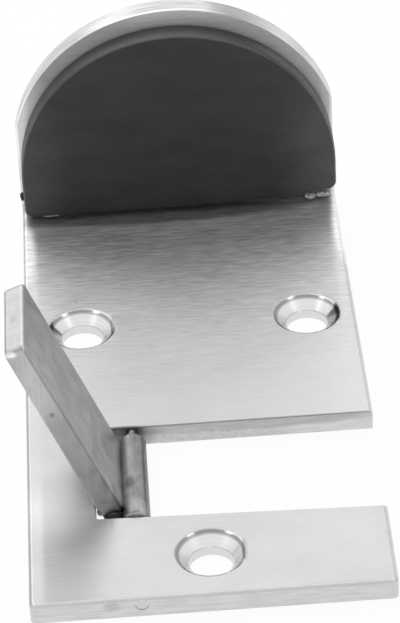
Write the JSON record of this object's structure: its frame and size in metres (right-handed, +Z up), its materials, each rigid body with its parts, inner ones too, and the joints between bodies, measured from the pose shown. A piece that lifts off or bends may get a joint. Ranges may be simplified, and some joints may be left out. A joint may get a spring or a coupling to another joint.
{
  "type": "floor door stop with hold-open lever",
  "caption": "Bent steel bracket for the floor, with an arched upright, a rubber pad and a hinged lever that stands up behind the door to hold it open.",
  "frame": {"origin": "middle of the base's underside, which stands on the floor", "axes": "+Y along the base, the way the door travels towards the pad; +Z up; +X to the right of somebody facing the pad, and the way the lever folds down"},
  "size_m": [0.0509, 0.097, 0.038],
  "materials": {
    "brushed_steel": "brushed across the bar's width",
    "satin_steel": "satin, as cut from flat bar",
    "turned_steel": "turned",
    "black_rubber": "matt",
    "clear_glue": "cured glue"
  },
  "bodies": {
    "bracket": {"base_bracket": "brushed_steel", "rubber_pad": "black_rubber", "pad_glue": "clear_glue", "hinge_pin": "turned_steel"},
    "lever": {"lever_blade": "satin_steel", "hinge_barrel": "turned_steel"}
  },
  "joints": [
    {"name": "lever_fold", "type": "hinge", "parent": "bracket", "child": "lever", "pos_m": [-0.0098, -0.02265, 0.002], "axis": [0, 1, 0], "range_deg": [0, 117]}
  ]
}
